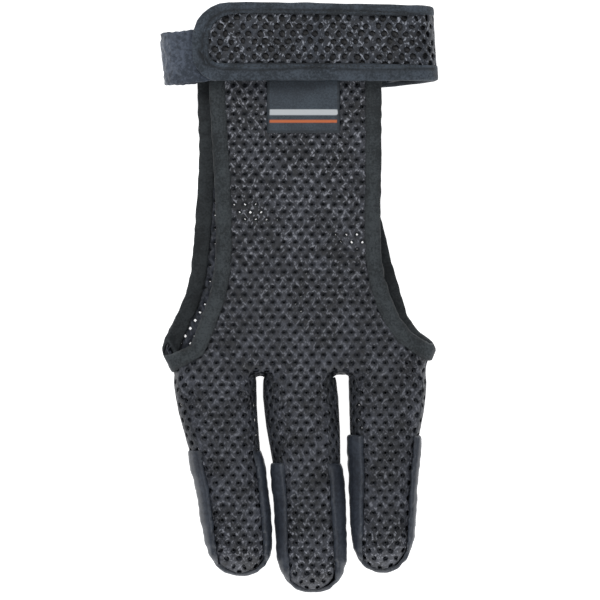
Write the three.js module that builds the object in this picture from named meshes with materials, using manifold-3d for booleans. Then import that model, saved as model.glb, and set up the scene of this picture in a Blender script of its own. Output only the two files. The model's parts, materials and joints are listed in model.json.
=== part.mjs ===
// A three-finger archery glove, lying on its palm.
// Millimetres, Z up. X runs across the hand, Y from the fingertips to the wrist, with Y = 0 at the finger roots
// until the whole glove is moved at the end to stand on Z = 0 round its own middle.
import * as THREE from 'three';
import { mergeVertices } from 'three/addons/utils/BufferGeometryUtils.js';
import Module from 'manifold-3d';

const wasm = await Module();
wasm.setup();

// Hand
const handWidth = 106;        // across the finger roots
const palmLength = 124;       // finger roots to the strap's lower edge
const knuckleHeight = 19;     // through both panels at the finger roots
const wristOpening = 6.2;     // between the two panels under the strap
const meshThickness = 2.2;    // spacer mesh
const flatUnderside = 0.9;    // how far down the rounding goes before the underside is flat
const handSquareness = 2.6;   // of a section: 2 would be an ellipse
const crotchShare = 0.010;    // of panelLength: how far the seams run up between the fingers

// Fingers
const ringLength = 84;
const ringWidth = 34.4;
const middleLength = 91;
const middleWidth = 30.7;
const indexLength = 82.5;
const indexWidth = 33.2;
const fingerSquareness = 2.4;
const tipSquareness = 2.3;    // 2 would be a round fingertip
const tipEnd = 0.92;          // share of the quarter turn at which a tip is closed flat

// Leather, tape and label
const patchThickness = 1.0;
const bindingWidth = 7;
const bindingThickness = 0.8;
const labelThickness = 0.8;
const labelWidth = 31;
const labelDrop = 22;         // below the strap's lower edge
const labelTuck = 0.8;        // up under the strap
const labelOffset = 1.5;      // from the hand's middle line

// Wrist strap
const strapWidth = 33;
const tabReach = 45.4;        // from the hand's middle line to the tab's end
const foldReach = 56.6;       // from the hand's middle line to the outside of the fold
const tabUpperRound = 15.5;
const tabLowerRound = 11.5;
const strapUpperBinding = 5;
const strapLowerBinding = 7.6;
const strapEndBinding = 7.3;
const wristMargin = 3.4;      // from the panels' ends up to the strap's upper edge
const dipLength = 12;         // where the strap comes down from the closure onto the glove
const dipMargin = 2;          // from the loop strap's front end to the dip
const foldSlant = 0.065;      // sideways lean of the fold, for each millimetre across the strap
const backDrop = 0.105;       // fall of the strap's back run, for each millimetre along it
const foldDrop = 1.1;         // how much lower the strap's upper edge lies at the fold

// Loop strap and hook pad
const loopWidth = 22.2;
const loopThickness = 1.4;
const loopFoldReach = 57.2;
const loopFrontLength = 56;   // from the fold's outside to the front end
const loopTilt = THREE.MathUtils.degToRad(5);
const loopDrop = 7.2;         // of its middle below the strap's middle, at the fold
const hookThickness = 1.0;
const hookLength = 26;
const hookMargin = 0.8;

// Clearances
const gap = 0.3;              // between pieces that touch
const backSeamGap = 0.7;      // where the strap's back run meets the loop strap
const beyond = 40;            // how far a cutting outline runs past what it cuts

// Facets
const ringPoints = 22;
const edgePoints = 18;
const tipRings = 5;
const roundSteps = 6;
const dipSteps = 3;
const foldSteps = 10;

// Levels that follow from the sizes
const lift = patchThickness + gap;
const knuckleTop = lift + knuckleHeight;
const edgeRecess = bindingThickness + gap;
const backRunLevel = edgeRecess + meshThickness / 2;
const wristUnderside = backRunLevel + meshThickness / 2 + 2 * edgeRecess + gap;
const wristTop = wristUnderside + 2 * meshThickness + wristOpening;
const splitLevel = (wristUnderside + wristTop) / 2;
const loopLevel = wristTop + edgeRecess + gap + loopThickness / 2;
const tabLevel = loopLevel + loopThickness / 2 + hookThickness + 2 * gap + meshThickness / 2;
const seatLevel = wristTop + labelThickness + 2 * gap + edgeRecess + meshThickness / 2;
const panelLength = palmLength + strapWidth - wristMargin;

// Sections of the hand
// columns: along (share of panelLength), left and right (shares of handWidth),
// underside (0 resting, 1 at the wrist), top (0 at the wrist, 1 at the knuckles), fullness (1 is full height)
const handSections = [
  [0.000, -0.478, 0.485, 0.00, 1.00, 0.50],
  [0.008, -0.492, 0.497, 0.00, 1.00, 0.78],
  [0.025, -0.508, 0.503, 0.00, 1.00, 0.95],
  [0.050, -0.533, 0.517, 0.00, 0.98, 1.00],
  [0.075, -0.553, 0.531, 0.00, 0.94, 1.00],
  [0.105, -0.567, 0.548, 0.00, 0.89, 1.00],
  [0.155, -0.566, 0.548, 0.00, 0.78, 1.00],
  [0.235, -0.540, 0.520, 0.00, 0.58, 1.00],
  [0.345, -0.515, 0.478, 0.00, 0.35, 1.00],
  [0.480, -0.500, 0.448, 0.05, 0.16, 1.00],
  [0.600, -0.485, 0.425, 0.38, 0.05, 1.00],
  [0.740, -0.475, 0.405, 1.00, 0.00, 1.00],
  [1.050, -0.475, 0.405, 1.00, 0.00, 1.00],
];

// Sections of the fingers
// columns: along (share of the finger's length, from its root), shift (of the middle) and width
// (shares of the finger's width), height (share of knuckleHeight), and where the seams lie in from
// the left and right sides (shares of the section's width)
// tip: the shift of the tip, and where the seams end in from its left and right
const fingers = [
  {
    name: 'ring',
    length: ringLength,
    width: ringWidth,
    root: -0.333,             // middle of the root, a share of handWidth
    patchStart: 0.38,         // share of the finger's length
    sections: [
      [-0.160, 0.000, 0.90, 0.86, 0.06, 0.10],
      [0.010, 0.000, 1.00, 0.99, 0.06, 0.10],
      [0.170, 0.036, 0.94, 1.00, 0.12, 0.09],
      [0.347, 0.089, 0.90, 0.99, 0.16, 0.08],
      [0.566, 0.187, 0.80, 0.97, 0.15, 0.08],
      [0.770, 0.256, 0.77, 0.93, 0.12, 0.09],
    ],
    tip: [0.295, 0.15, 0.10],
  },
  {
    name: 'middle',
    length: middleLength,
    width: middleWidth,
    root: 0,
    patchStart: 0.41,
    sections: [
      [-0.150, 0.000, 0.92, 0.86, 0.14, 0.14],
      [0.010, 0.000, 1.00, 0.99, 0.14, 0.14],
      [0.196, 0.042, 0.97, 1.00, 0.16, 0.16],
      [0.400, 0.090, 0.94, 1.00, 0.16, 0.17],
      [0.600, 0.132, 0.89, 0.98, 0.16, 0.17],
      [0.797, 0.158, 0.88, 0.94, 0.13, 0.14],
    ],
    tip: [0.164, 0.14, 0.13],
  },
  {
    name: 'index',
    length: indexLength,
    width: indexWidth,
    root: 0.3465,
    patchStart: 0.307,
    sections: [
      [-0.160, 0.000, 0.90, 0.86, 0.11, 0.06],
      [0.010, 0.000, 1.00, 0.99, 0.11, 0.06],
      [0.140, -0.010, 0.96, 1.00, 0.16, 0.06],
      [0.290, -0.030, 0.90, 0.99, 0.19, 0.06],
      [0.500, -0.042, 0.80, 0.97, 0.19, 0.06],
      [0.730, -0.049, 0.75, 0.92, 0.16, 0.06],
    ],
    tip: [-0.070, 0.15, 0.08],
  },
];

// Free edges of the panels, from the wrist down to the end of the side slot
// columns: along (share of panelLength), across (share of handWidth)
const backEdgeLeft = [
  [1.000, -0.3625], [0.792, -0.3625], [0.662, -0.352], [0.516, -0.3395], [0.398, -0.334], [0.316, -0.337],
  [0.215, -0.361], [0.146, -0.400], [0.084, -0.4334], [0.0625, -0.462], [0.054, -0.507], [0.052, -0.594],
];
const palmEdgeLeft = [
  [1.000, -0.350], [0.955, -0.400], [0.796, -0.409], [0.590, -0.403], [0.480, -0.4125], [0.360, -0.425],
  [0.248, -0.4457], [0.195, -0.473], [0.138, -0.512], [0.097, -0.541], [0.070, -0.550], [0.055, -0.562], [0.052, -0.620],
];
const backEdgeRight = [
  [1.000, 0.323], [0.795, 0.325], [0.535, 0.323], [0.442, 0.3205], [0.324, 0.3245], [0.267, 0.337],
  [0.209, 0.363], [0.144, 0.4105], [0.098, 0.471], [0.084, 0.515], [0.079, 0.594],
];
const palmEdgeRight = [
  [1.000, 0.305], [0.535, 0.305], [0.453, 0.317], [0.389, 0.340], [0.305, 0.3677], [0.234, 0.401],
  [0.182, 0.4164], [0.127, 0.462], [0.098, 0.501], [0.084, 0.535], [0.079, 0.620],
];

// Solids

function toSolid(geometry) {
  geometry.deleteAttribute('normal');
  geometry.deleteAttribute('uv');
  const merged = mergeVertices(geometry, 1e-4);
  return new wasm.Manifold(new wasm.Mesh({
    numProp: 3,
    vertProperties: new Float32Array(merged.attributes.position.array),
    triVerts: new Uint32Array(merged.index.array),
  }));
}

function toMesh(name, solid, color, roughness) {
  const { vertProperties, triVerts } = solid.getMesh();
  const geometry = new THREE.BufferGeometry();
  geometry.setAttribute('position', new THREE.BufferAttribute(vertProperties, 3));
  geometry.setIndex(new THREE.BufferAttribute(triVerts, 1));
  geometry.computeVertexNormals();
  const mesh = new THREE.Mesh(geometry, new THREE.MeshStandardMaterial({ color, roughness, metalness: 0 }));
  mesh.name = name;
  return mesh;
}

// Skins a row of rings, each a closed loop of as many points, and closes both ends.
function loft(rings) {
  const count = rings[0].length;
  const last = (rings.length - 1) * count;
  const index = [];
  for (let r = 0; r < rings.length - 1; r += 1) {
    for (let i = 0; i < count; i += 1) {
      const a = r * count + i;
      const b = r * count + (i + 1) % count;
      index.push(a, b, b + count, a, b + count, a + count);
    }
  }
  for (let i = 1; i < count - 1; i += 1) {
    index.push(0, i + 1, i);
    index.push(last, last + i, last + i + 1);
  }
  const geometry = new THREE.BufferGeometry();
  geometry.setAttribute('position', new THREE.Float32BufferAttribute(rings.flat().flatMap((p) => p.toArray()), 3));
  geometry.setIndex(index);
  return toSolid(geometry);
}

function prism(outline, low, high) {
  const shape = new THREE.Shape(outline);
  const geometry = new THREE.ExtrudeGeometry(shape, { depth: high - low, bevelEnabled: false });
  geometry.translate(0, 0, low);
  return toSolid(geometry);
}

// Body of the glove, as if it were solid. A positive offset makes it fatter all round.

// A rounded section across Y, flat underneath.
function section(y, left, right, bottom, top, offset, squareness) {
  const halfWidth = (right - left) / 2 + offset;
  const halfHeight = (top - bottom) / 2 + offset;
  const points = [];
  for (let i = 0; i < ringPoints; i += 1) {
    const angle = (2 * Math.PI * i) / ringPoints;
    const across = Math.sign(Math.cos(angle)) * Math.abs(Math.cos(angle)) ** (2 / squareness);
    const up = Math.sign(Math.sin(angle)) * Math.abs(Math.sin(angle)) ** (2 / squareness);
    const height = up > 0 ? up * halfHeight : Math.max(up * halfHeight / flatUnderside, -halfHeight);
    points.push(new THREE.Vector3((left + right) / 2 + across * halfWidth, y, (top + bottom) / 2 + height));
  }
  return points;
}

function handBody(offset) {
  return loft(handSections.map(([along, left, right, underside, top, fullness]) => {
    const low = THREE.MathUtils.lerp(lift, wristUnderside, underside);
    const high = THREE.MathUtils.lerp(wristTop, knuckleTop, top);
    const middle = (low + high) / 2;
    const half = (fullness * (high - low)) / 2;
    const y = along * panelLength - offset;
    return section(y, left * handWidth, right * handWidth, middle - half, middle + half, offset, handSquareness);
  }).reverse());
}

function fingerSection(finger, row) {
  const [along, shift, width, height] = row;
  const middle = finger.root * handWidth + shift * finger.width;
  return {
    y: -along * finger.length,
    middle,
    halfWidth: (width * finger.width) / 2,
    top: lift + height * knuckleHeight,
  };
}

function fingerBody(finger, offset) {
  const rows = finger.sections.map((row) => fingerSection(finger, row));
  const rings = rows.map(({ y, middle, halfWidth, top }) => (
    section(y, middle - halfWidth, middle + halfWidth, lift, top, offset, fingerSquareness)));
  const start = rows.at(-1);
  const tipMiddle = finger.root * handWidth + finger.tip[0] * finger.width;
  const tipLength = finger.length + start.y + offset;
  for (let k = 1; k <= tipRings; k += 1) {
    const along = Math.sin((Math.PI / 2) * tipEnd * (k / tipRings));
    const fullness = (1 - along ** tipSquareness) ** (1 / tipSquareness);
    const middle = THREE.MathUtils.lerp(start.middle, tipMiddle, along);
    const halfWidth = (start.halfWidth + offset) * fullness;
    const level = (lift + start.top) / 2;
    const halfHeight = ((start.top - lift) / 2 + offset) * fullness;
    rings.push(section(start.y - along * tipLength, middle - halfWidth, middle + halfWidth,
      level - halfHeight, level + halfHeight, 0, fingerSquareness));
  }
  return loft(rings);
}

function gloveBody(offset) {
  return fingers.reduce((body, finger) => body.add(fingerBody(finger, offset)), handBody(offset));
}

function shell(inner, outer, body = gloveBody) {
  return body(outer).subtract(body(inner));
}

// Outlines seen from above

function edgeCurve(table) {
  const points = table.map(([along, across]) => new THREE.Vector3(across * handWidth, along * panelLength, 0));
  return new THREE.CatmullRomCurve3(points, false, 'centripetal');
}

// The edge moved into the panel by a distance. side is -1 for a left edge and 1 for a right one.
function movedEdge(table, side, distance) {
  const curve = edgeCurve(table);
  const points = [];
  for (let i = 0; i <= edgePoints; i += 1) {
    const point = curve.getPointAt(i / edgePoints);
    const tangent = curve.getTangentAt(i / edgePoints);
    points.push(new THREE.Vector2(
      point.x + side * tangent.y * distance,
      point.y - side * tangent.x * distance,
    ));
  }
  return points;
}

function panelOutline(leftEdge, rightEdge, recess) {
  const side = handWidth / 2 + beyond;
  const low = -Math.max(...fingers.map((finger) => finger.length)) - beyond;
  const left = movedEdge(leftEdge, -1, recess);
  const right = movedEdge(rightEdge, 1, recess);
  return [
    ...left,
    new THREE.Vector2(-side, left.at(-1).y),
    new THREE.Vector2(-side, low),
    new THREE.Vector2(side, low),
    new THREE.Vector2(side, right.at(-1).y),
    ...right.reverse(),
  ];
}

function edgeStrip(table, side) {
  return [...movedEdge(table, side, 0), ...movedEdge(table, side, bindingWidth).reverse()];
}

// What lies behind the seams: the back of the hand and the tops of the fingers.
function backCover(growth) {
  const side = handWidth / 2 + beyond;
  const far = panelLength + beyond;
  const crotch = crotchShare * panelLength - growth;
  const outline = [new THREE.Vector2(-side, far), new THREE.Vector2(-side, crotch)];
  fingers.forEach((finger) => {
    const rows = finger.sections.slice(1);
    const low = -finger.length - beyond;
    const { tip } = finger;
    const lastWidth = rows.at(-1)[2] * finger.width;
    const tipMiddle = finger.root * handWidth + tip[0] * finger.width;
    const leftSeam = rows.map((row) => {
      const { y, middle, halfWidth } = fingerSection(finger, row);
      return new THREE.Vector2(middle - halfWidth + 2 * row[4] * halfWidth - growth, y);
    });
    const rightSeam = rows.map((row) => {
      const { y, middle, halfWidth } = fingerSection(finger, row);
      return new THREE.Vector2(middle + halfWidth - 2 * row[5] * halfWidth + growth, y);
    });
    outline.push(
      new THREE.Vector2(leftSeam[0].x, crotch),
      ...leftSeam,
      new THREE.Vector2(tipMiddle - (0.5 - tip[1]) * lastWidth - growth, -finger.length),
      new THREE.Vector2(tipMiddle - (0.5 - tip[1]) * lastWidth - growth, low),
      new THREE.Vector2(tipMiddle + (0.5 - tip[2]) * lastWidth + growth, low),
      new THREE.Vector2(tipMiddle + (0.5 - tip[2]) * lastWidth + growth, -finger.length),
      ...rightSeam.reverse(),
      new THREE.Vector2(rightSeam.at(-1).x, crotch),
    );
  });
  outline.push(new THREE.Vector2(side, crotch), new THREE.Vector2(side, far));
  return outline;
}

// Panels, bindings, patches and label

const floorCut = -beyond;
const topCut = knuckleTop + beyond;

// Everything that either panel may fill: the back above the split level and the palm below it.
function panelSpace(growth) {
  const recess = edgeRecess - growth;
  return prism(panelOutline(backEdgeLeft, backEdgeRight, recess), splitLevel - gap, topCut)
    .add(prism(panelOutline(palmEdgeLeft, palmEdgeRight, recess), floorCut, splitLevel));
}

const sheet = shell(-meshThickness, 0).intersect(panelSpace(0));
const sheetRoom = shell(-meshThickness - gap, gap).intersect(panelSpace(gap));
const backSpace = prism(backCover(0), splitLevel, topCut);
const backRoom = prism(backCover(gap), splitLevel - gap, topCut);

function makeBackPanel() {
  return toMesh('back_panel', sheet.intersect(backSpace), 0x2f3035, 0.62);
}

function makePalmPanel() {
  return toMesh('palm_panel', sheet.subtract(backRoom), 0x2a2b30, 0.66);
}

function makeBinding(name, backEdge, palmEdge, side) {
  const outside = gap + bindingThickness;
  const tape = shell(-meshThickness - outside, outside);
  const strips = prism(edgeStrip(backEdge, side), splitLevel - gap, topCut)
    .add(prism(edgeStrip(palmEdge, side), floorCut, splitLevel));
  return toMesh(name, tape.intersect(strips).subtract(sheetRoom), 0x363c40, 0.85);
}

function makePatch(finger) {
  const leather = shell(gap, gap + patchThickness, (offset) => fingerBody(finger, offset));
  const middle = finger.root * handWidth;
  const zone = [
    new THREE.Vector2(middle - finger.width, -finger.length - beyond),
    new THREE.Vector2(middle + finger.width, -finger.length - beyond),
    new THREE.Vector2(middle + finger.width, -finger.patchStart * finger.length),
    new THREE.Vector2(middle - finger.width, -finger.patchStart * finger.length),
  ];
  const patch = leather.intersect(prism(zone, floorCut, topCut)).subtract(backRoom);
  return toMesh(`${finger.name}_patch`, patch, 0x2c3038, 0.5);
}

function makeLabel() {
  const cloth = shell(gap, gap + labelThickness, handBody);
  const left = labelOffset - labelWidth / 2;
  const corners = [
    new THREE.Vector2(left, palmLength - labelDrop),
    new THREE.Vector2(left + labelWidth, palmLength - labelDrop),
    new THREE.Vector2(left + labelWidth, palmLength + labelTuck),
    new THREE.Vector2(left, palmLength + labelTuck),
  ];
  return toMesh('label', cloth.intersect(prism(corners, splitLevel, topCut)), 0x2f3840, 0.7);
}

// Straps: flat pieces bent along a path in the X-Z plane

const foldRadius = (seatLevel - backRunLevel) / 2;
const foldMiddle = foldReach - foldRadius - meshThickness / 2;
const strapBackEnd = backSeamGap / 2;

function makeStrapPath() {
  const path = new THREE.CurvePath();
  const dipStart = loopFrontLength - loopFoldReach + dipMargin;
  const dipEnd = dipStart + dipLength;
  const easing = dipLength / 3;
  const tabEnd = new THREE.Vector2(-tabReach, tabLevel);
  const dipTop = new THREE.Vector2(dipStart, tabLevel);
  const dipFoot = new THREE.Vector2(dipEnd, seatLevel);
  const foldTop = new THREE.Vector2(foldMiddle, seatLevel);
  path.add(new THREE.LineCurve(tabEnd, dipTop));
  path.add(new THREE.CubicBezierCurve(
    dipTop,
    new THREE.Vector2(dipStart + easing, tabLevel),
    new THREE.Vector2(dipEnd - easing, seatLevel),
    dipFoot,
  ));
  path.add(new THREE.LineCurve(dipFoot, foldTop));
  path.add(new THREE.EllipseCurve(
    foldMiddle, (seatLevel + backRunLevel) / 2, foldRadius, foldRadius, Math.PI / 2, -Math.PI / 2, true));
  path.add(new THREE.LineCurve(
    new THREE.Vector2(foldMiddle, backRunLevel), new THREE.Vector2(strapBackEnd - beyond, backRunLevel)));
  return path;
}

const strapPath = makeStrapPath();
const strapLengths = strapPath.getCurveLengths();
const strapLength = strapLengths.at(-1) - beyond;

// Places a point of the flat strap: along from the tab's end, across from the lower edge, out from the middle.
function bendStrap(along, across, out) {
  const share = along / strapLengths.at(-1);
  const point = strapPath.getPointAt(share);
  const tangent = strapPath.getTangentAt(share);
  const towardsFold = THREE.MathUtils.clamp(along / strapLengths[2], 0, 1);
  const pastFold = tangent.x < 0 ? foldMiddle + foldRadius - point.x : 0;
  return new THREE.Vector3(
    point.x - tangent.y * out - foldSlant * towardsFold ** 3 * (across - strapWidth / 2),
    palmLength + across - foldDrop * towardsFold ** 3 * (across / strapWidth) - backDrop * pastFold,
    point.y + tangent.x * out,
  );
}

function steps(from, to, count) {
  return Array.from({ length: count + 1 }, (_, i) => THREE.MathUtils.lerp(from, to, i / count));
}

// Flat slab with a rounded tab end, bent along the strap. inset draws its edges in, end is where it stops,
// and low and high are its two faces, measured out from the strap's middle.
function strapSlab(inset, end, low, high) {
  const upperRound = tabUpperRound - inset.upper;
  const lowerRound = tabLowerRound - inset.lower;
  const [dipStart, dipEnd, foldStart, foldEnd] = strapLengths;
  const rounded = steps(0, Math.PI / 2, roundSteps).map((angle) => upperRound * (1 - Math.cos(angle)));
  const alongs = [
    ...rounded.map((depth) => inset.end + depth),
    ...steps(dipStart, dipEnd, dipSteps),
    ...steps(foldStart, foldEnd, foldSteps),
    end,
  ];
  return loft(alongs.map((along) => {
    const depth = along - inset.end;
    const bottom = inset.lower + roundCut(lowerRound, depth);
    const top = strapWidth - inset.upper - roundCut(upperRound, depth);
    return [
      bendStrap(along, bottom, low),
      bendStrap(along, top, low),
      bendStrap(along, top, high),
      bendStrap(along, bottom, high),
    ];
  }));
}

// How much a rounded corner takes off the width at a depth from the end.
function roundCut(radius, depth) {
  const rest = Math.max(0, radius - depth);
  return radius - Math.sqrt(radius ** 2 - rest ** 2);
}

const strapInset = { upper: edgeRecess, lower: edgeRecess, end: edgeRecess };
const strapHalf = meshThickness / 2;

function makeStrapMesh() {
  return toMesh('strap_mesh', strapSlab(strapInset, strapLength, -strapHalf, strapHalf), 0x303136, 0.55);
}

function makeStrapBinding() {
  const past = strapLength + beyond / 2;
  const outside = strapHalf + gap + bindingThickness;
  const whole = strapSlab({ upper: 0, lower: 0, end: 0 }, strapLength, -outside, outside);
  const windowInset = { upper: strapUpperBinding, lower: strapLowerBinding, end: strapEndBinding };
  const openWindow = strapSlab(windowInset, past, -outside - gap, outside + gap);
  const roomInset = { upper: edgeRecess - gap, lower: edgeRecess - gap, end: edgeRecess - gap };
  const room = strapSlab(roomInset, past, -strapHalf - gap, strapHalf + gap);
  return toMesh('strap_binding', whole.subtract(openWindow).subtract(room), 0x3c4550, 0.8);
}

function makeHookPad() {
  const top = -strapHalf - gap;
  const bottom = strapLowerBinding + hookMargin;
  const upper = strapWidth - strapUpperBinding - hookMargin;
  const from = strapEndBinding + tabUpperRound - strapUpperBinding;
  const corners = [[from, bottom], [from + hookLength, bottom], [from + hookLength, upper], [from, upper]];
  const rings = [top - hookThickness, top].map((out) => (
    corners.map(([along, across]) => bendStrap(along, across, out))));
  return toMesh('hook_pad', loft(rings), 0x24262a, 0.9);
}

// The loop strap is bent straight about its fold, then turned to its tilt.
function makeLoopStrap() {
  const half = loopThickness / 2;
  const low = half;
  const radius = (loopLevel - low) / 2;
  const centre = radius + half;
  const path = [[loopFrontLength, loopLevel, Math.PI / 2]];
  steps(Math.PI / 2, 1.5 * Math.PI, foldSteps).forEach((angle) => {
    path.push([centre + radius * Math.cos(angle), low + radius + radius * Math.sin(angle), angle]);
  });
  path.push([(loopFoldReach - backSeamGap / 2) / Math.cos(loopTilt), low, -Math.PI / 2]);
  const solid = loft(path.map(([x, z, angle]) => {
    const corners = [[-loopWidth / 2, -half], [loopWidth / 2, -half], [loopWidth / 2, half], [-loopWidth / 2, half]];
    return corners.map(([across, out]) => (
      new THREE.Vector3(x + out * Math.cos(angle), across, z + out * Math.sin(angle))));
  }).reverse());
  const mesh = toMesh('loop_strap', solid, 0x454b57, 0.95);
  mesh.rotation.z = loopTilt;
  mesh.position.set(-loopFoldReach, palmLength + strapWidth / 2 - loopDrop, 0);
  return mesh;
}

const glove = new THREE.Group();
glove.add(makeBackPanel());
glove.add(makePalmPanel());
fingers.forEach((finger) => glove.add(makePatch(finger)));
glove.add(makeBinding('binding_left', backEdgeLeft, palmEdgeLeft, -1));
glove.add(makeBinding('binding_right', backEdgeRight, palmEdgeRight, 1));
glove.add(makeStrapMesh());
glove.add(makeStrapBinding());
glove.add(makeLoopStrap());
glove.add(makeHookPad());
glove.add(makeLabel());

// The origin goes to the bottom centre of the whole glove.
const bounds = new THREE.Box3().setFromObject(glove);
const centre = bounds.getCenter(new THREE.Vector3());
glove.position.set(-centre.x, -centre.y, -bounds.min.z);

export default glove;
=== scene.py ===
# %% [markdown]
# # An archery glove of spacer mesh
# The glove lies on its palm, with its fingers towards the bottom of the picture.
# Its back and palm are knitted mesh, its fingertips are covered by smooth patches,
# its open sides are bound with tape, and a strap with hook and loop closes it round the wrist.
# The solids that come with the frame give each piece its place, and each one is replaced here by sewn cloth.

# %% Load the frame
import json
import math

import bmesh
import bpy
from mathutils import Matrix, Vector, noise
from mathutils.bvhtree import BVHTree
from mathutils.kdtree import KDTree

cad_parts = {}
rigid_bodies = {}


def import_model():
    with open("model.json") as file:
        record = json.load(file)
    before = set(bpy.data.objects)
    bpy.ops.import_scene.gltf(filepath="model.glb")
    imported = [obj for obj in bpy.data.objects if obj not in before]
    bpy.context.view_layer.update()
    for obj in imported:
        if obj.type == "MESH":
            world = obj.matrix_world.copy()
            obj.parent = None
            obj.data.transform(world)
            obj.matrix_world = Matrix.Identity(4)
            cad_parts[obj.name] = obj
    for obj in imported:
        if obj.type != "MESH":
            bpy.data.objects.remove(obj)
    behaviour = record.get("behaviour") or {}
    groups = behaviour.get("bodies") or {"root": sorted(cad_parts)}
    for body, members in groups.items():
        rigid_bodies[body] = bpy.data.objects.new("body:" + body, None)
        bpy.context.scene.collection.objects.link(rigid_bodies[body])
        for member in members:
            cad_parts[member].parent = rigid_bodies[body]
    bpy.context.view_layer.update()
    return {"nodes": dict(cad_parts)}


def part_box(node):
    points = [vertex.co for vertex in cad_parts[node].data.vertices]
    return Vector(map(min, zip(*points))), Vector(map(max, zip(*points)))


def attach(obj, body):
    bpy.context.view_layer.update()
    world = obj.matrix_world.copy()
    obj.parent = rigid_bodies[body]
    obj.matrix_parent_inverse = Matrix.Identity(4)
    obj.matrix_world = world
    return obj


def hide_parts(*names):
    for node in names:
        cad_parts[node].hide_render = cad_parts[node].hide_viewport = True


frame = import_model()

MM = 0.001

# %% [markdown]
# ## Helpers for cloth
# Every cloth piece starts from the solid that it replaces. A ray cast onto that solid says where the cloth lies,
# so a flat grid can be laid over it, as a cutter lays cloth over a form. Pieces whose shape is rounded all over,
# such as the tape, start instead from a fine copy of the solid, which is then smoothed and creased.

# %% Rays onto a solid
def merged(node):
    """A copy of a solid's mesh with its corners joined."""
    bm = bmesh.new()
    bm.from_mesh(frame["nodes"][node].data)
    bmesh.ops.remove_doubles(bm, verts=bm.verts, dist=0.001 * MM)
    return bm


def make_tree(node):
    bm = merged(node)
    tree = BVHTree.FromBMesh(bm)
    bm.free()
    return tree


trees = {node: make_tree(node) for node in frame["nodes"]}
UP = Vector((0, 0, 1))


def from_above(node):
    """A function that finds the top of a solid at x, y."""
    def place(x, y):
        spot, normal, _, _ = trees[node].ray_cast(Vector((x, y, 60 * MM)), -UP)
        return None if spot is None else (spot, normal)
    return place


def from_below(node, least_y, steepest):
    """A function that finds the underside of a solid at x, y, where it is flat enough."""
    def place(x, y):
        if y < least_y:
            return None
        spot, normal, _, _ = trees[node].ray_cast(Vector((x, y, -20 * MM)), UP)
        return None if spot is None or normal.z > -steepest else (spot, normal)
    return place


# %% A fine skin for rounded pieces
def fine_copy(node, voxel, passes):
    """A copy of a solid with an even, fine skin, smoothed as cloth is."""
    mesh = bpy.data.meshes.new("form")
    bm = merged(node)
    bm.to_mesh(mesh)
    bm.free()
    form = bpy.data.objects.new("form", mesh)
    bpy.context.scene.collection.objects.link(form)
    remesh = form.modifiers.new("Remesh", "REMESH")
    remesh.mode = "VOXEL"
    remesh.voxel_size = voxel
    fine = bmesh.new()
    fine.from_object(form, bpy.context.evaluated_depsgraph_get())
    bpy.data.objects.remove(form)
    for _ in range(passes):
        bmesh.ops.smooth_vert(
            fine, verts=fine.verts, factor=0.5, use_axis_x=True, use_axis_y=True, use_axis_z=True)
    return fine


def crease(bm, height, size, seed):
    """Moves the skin in and out by smooth noise. size gives the length of the creases along x, y and z."""
    bm.normal_update()
    for v in bm.verts:
        spot = Vector((v.co.x / size[0], v.co.y / size[1], v.co.z / size[2] + seed))
        v.co += v.normal * height * noise.noise(spot)


# %% A mesh becomes a piece
def to_piece(bm, name, material, nodes=()):
    """Makes a named piece that rides with the glove. What would sink into the floor is flattened on it."""
    for v in bm.verts:
        v.co.z = max(v.co.z, 0.05 * MM)
    mesh = bpy.data.meshes.new(name)
    bm.to_mesh(mesh)
    bm.free()
    for polygon in mesh.polygons:
        polygon.use_smooth = True
    piece = bpy.data.objects.new(name, mesh)
    bpy.context.scene.collection.objects.link(piece)
    mesh.materials.append(material)
    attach(piece, "root")
    if nodes:
        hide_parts(*nodes)
    print(name, "has", len(mesh.polygons), "faces")
    return piece


def round_off(piece):
    """One subdivision, so cut edges become round strands."""
    rounding = piece.modifiers.new("Round the strands", "SUBSURF")
    rounding.levels = 1
    rounding.render_levels = 1


# %% [markdown]
# ## Finishes
# Each finish starts from what the real one is made of. Its colours are typed as sRGB hex values,
# as they are read off a picture, and one function turns them to the linear values that the shader needs.

# %% Colours and nodes
def linear(hex_colour):
    channels = [int(hex_colour[i:i + 2], 16) / 255 for i in (1, 3, 5)]
    curved = [c / 12.92 if c <= 0.04045 else ((c + 0.055) / 1.055) ** 2.4 for c in channels]
    return (*curved, 1.0)


def add_node(tree, kind, links=None, **settings):
    """Adds a node. links maps an input to the output that feeds it; settings are attributes or input values."""
    node = tree.nodes.new(kind)
    for key, value in settings.items():
        if hasattr(node, key):
            setattr(node, key, value)
        else:
            node.inputs[key.replace("_", " ")].default_value = value
    for key, output in (links or {}).items():
        tree.links.new(output, node.inputs[key])
    return node


def mix_colours(tree, factor, first, second):
    """Mixes two colours, each a hex value or another node's output."""
    node = add_node(tree, "ShaderNodeMix", {0: factor}, data_type="RGBA")
    for socket, colour in ((6, first), (7, second)):
        if isinstance(colour, str):
            node.inputs[socket].default_value = linear(colour)
        else:
            tree.links.new(colour, node.inputs[socket])
    return node.outputs[2]


def new_material(name, roughness):
    material = bpy.data.materials.new(name)
    material.use_nodes = True
    tree = material.node_tree
    shader = tree.nodes["Principled BSDF"]
    shader.inputs["Roughness"].default_value = roughness
    return material, tree, shader


# %% [markdown]
# ## Knitted spacer mesh
# The yarn is black polyester, slightly shiny. It runs along the two diagonals between the holes, and where it
# stands up it catches the light in short bright strokes. The attribute called glint says where that is, and the one
# called rim marks the strand's edge at each hole, which lies deeper and in shade.

# %% Mesh yarn
STRAND_WIDTH = 0.45 * MM      # the real one is about 0.2 mm, too fine to show, so it is drawn coarser
DIAGONAL = math.radians(36)


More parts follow.
